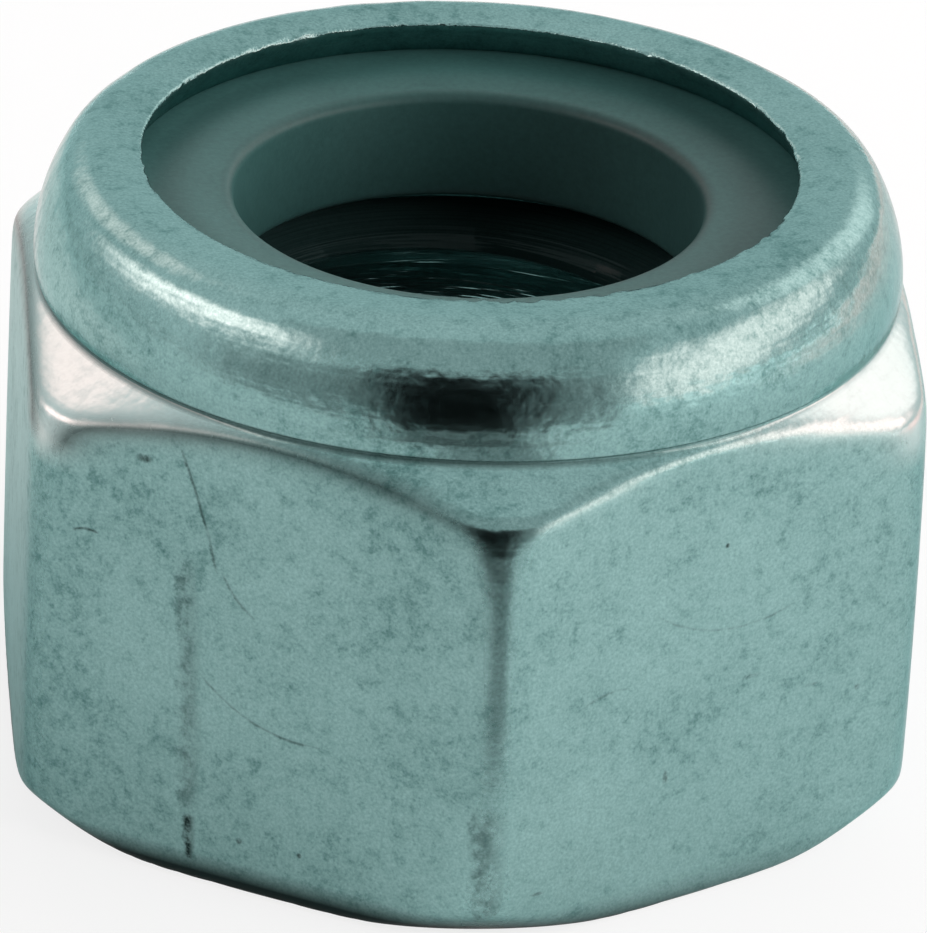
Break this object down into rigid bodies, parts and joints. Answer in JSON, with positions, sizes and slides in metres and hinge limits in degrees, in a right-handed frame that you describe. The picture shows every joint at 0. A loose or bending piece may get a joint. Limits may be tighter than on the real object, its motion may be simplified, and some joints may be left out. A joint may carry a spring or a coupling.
{
  "type": "nylon insert lock nut",
  "caption": "Zinc plated hexagon lock nut, with a nylon ring held under a rolled collar to grip the bolt's thread.",
  "frame": {"origin": "centre of the bearing face, on the thread axis", "axes": "+Z along the thread axis from the bearing face towards the insert, a corner of the hexagon towards -Y, and flats facing +X and -X"},
  "size_m": [0.013, 0.015, 0.0092],
  "materials": {
    "zinc_plated_steel": "zinc plated, satin with fine mottling",
    "nylon": "moulded, smooth and slightly translucent"
  },
  "bodies": {
    "root": {"nut_body": "zinc_plated_steel", "nylon_insert": "nylon"}
  },
  "joints": []
}
